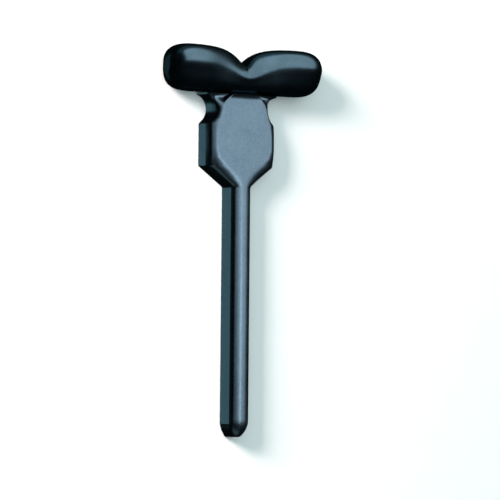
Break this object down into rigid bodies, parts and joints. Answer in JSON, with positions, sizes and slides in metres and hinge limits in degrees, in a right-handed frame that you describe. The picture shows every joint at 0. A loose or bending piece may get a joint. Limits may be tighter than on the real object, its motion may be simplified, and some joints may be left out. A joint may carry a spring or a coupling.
{
  "type": "tap wrench",
  "caption": "One-hand T wrench: a flat blackened steel blade with a broad pad and a blunt rectangular shank, under a two-lobed grip.",
  "frame": {"origin": "under the middle of the wrench as it lies on its back, on the plane it lies on", "axes": "+X along the T grip, +Y from the tip towards the grip, +Z out of the front face"},
  "size_m": [0.0796, 0.165, 0.0164],
  "materials": {
    "blade_steel": "blackened steel with a satin blue-grey sheen",
    "grip_black": "smooth black satin coat"
  },
  "bodies": {
    "root": {"blade": "blade_steel", "t_grip": "grip_black"}
  },
  "joints": []
}
